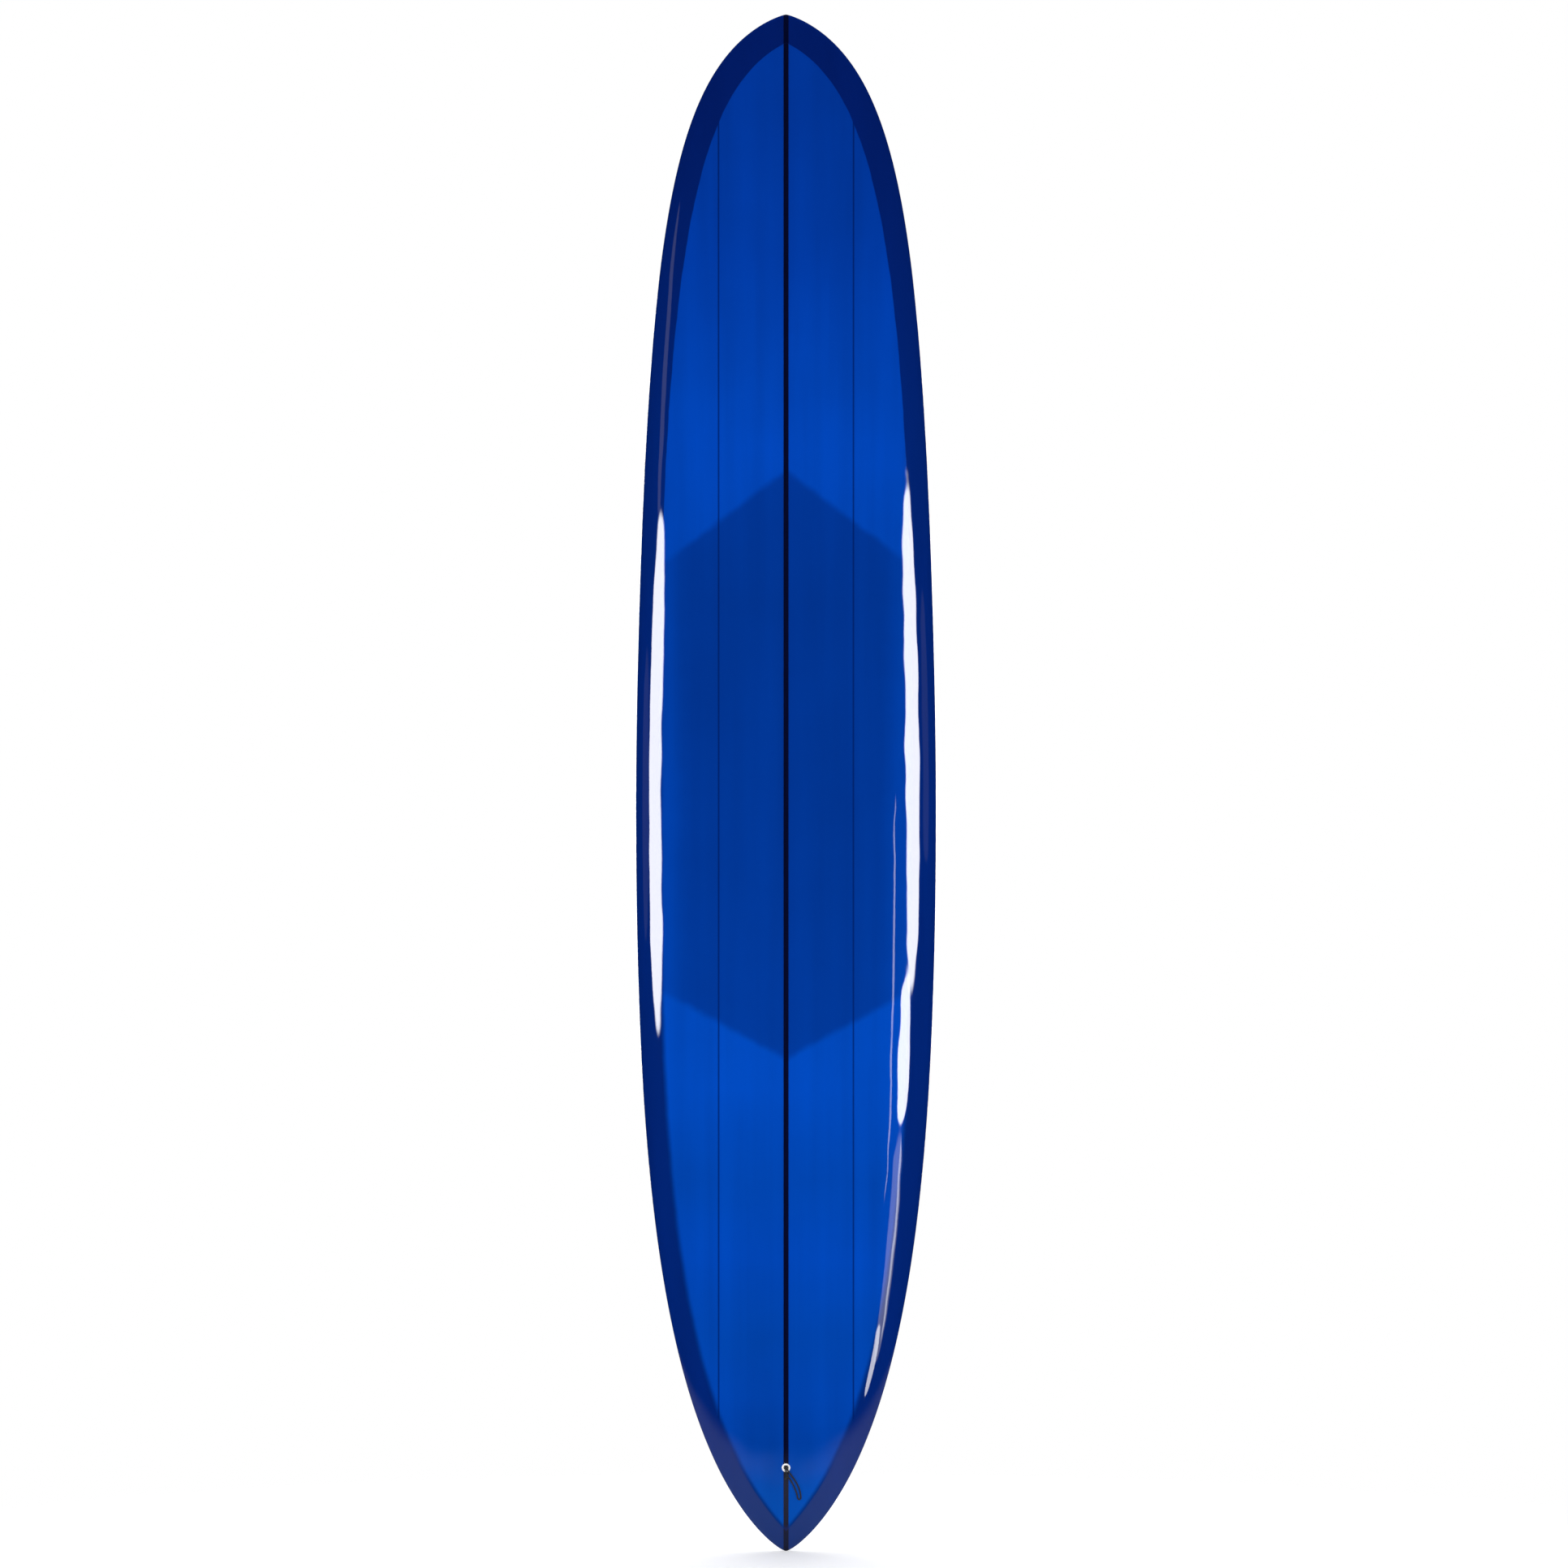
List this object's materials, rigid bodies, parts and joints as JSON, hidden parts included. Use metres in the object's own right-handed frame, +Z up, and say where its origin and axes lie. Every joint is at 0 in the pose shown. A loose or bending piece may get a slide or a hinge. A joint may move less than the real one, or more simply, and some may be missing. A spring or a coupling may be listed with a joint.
{
  "type": "surfboard",
  "caption": "Traditional pintail longboard: foam and stringer core in tinted laminates, with a leash plug and cord loop, and a boxed fin that slides when its screw is loose.",
  "frame": {"origin": "the tip of the tail, on the stringer line", "axes": "+Z up the stringer line from the tail to the nose; the deck faces -Y and the bottom, with the fin, faces +Y; +X is to the right of someone who faces the deck"},
  "size_m": [0.598, 0.3137, 3.048],
  "materials": {
    "foam": "matte",
    "centre_stringer_wood": "satin",
    "side_stringer_wood": "satin",
    "navy_laminate": "gloss",
    "blue_laminate": "gloss",
    "patch_cloth": "gloss",
    "white_plastic": "satin",
    "stainless_steel": "satin",
    "resin": "gloss",
    "black_cord": "matte",
    "black_plastic": "satin",
    "fin_glass": "gloss",
    "brass": "satin"
  },
  "bodies": {
    "board": {"foam_outer_left": "foam", "foam_inner_left": "foam", "foam_inner_right": "foam", "foam_outer_right": "foam", "centre_stringer": "centre_stringer_wood", "centre_stringer_over_box": "centre_stringer_wood", "centre_stringer_tail": "centre_stringer_wood", "left_stringer": "side_stringer_wood", "right_stringer": "side_stringer_wood", "bottom_laminate": "navy_laminate", "deck_laminate": "blue_laminate", "deck_patch": "patch_cloth", "leash_plug_cup": "white_plastic", "leash_plug_pin": "stainless_steel", "leash_plug_resin_bed": "resin", "leash_string": "black_cord", "leash_string_knot": "black_cord", "fin_box": "black_plastic", "fin_box_resin_bed": "resin"},
    "fin_assembly": {"fin": "fin_glass", "fin_pin": "brass", "fin_plate": "brass"},
    "screw": {"fin_screw": "stainless_steel"}
  },
  "joints": [
    {"name": "fin_slide", "type": "slide", "parent": "board", "child": "fin_assembly", "axis": [0, 0.0763, 0.9971], "range_m": [-0.015, 0.027]},
    {"name": "fin_screw_turn", "type": "hinge", "parent": "fin_assembly", "child": "screw", "pos_m": [0, 0.04186, 0.4028], "axis": [0, 0.9971, -0.0763], "continuous": true}
  ]
}
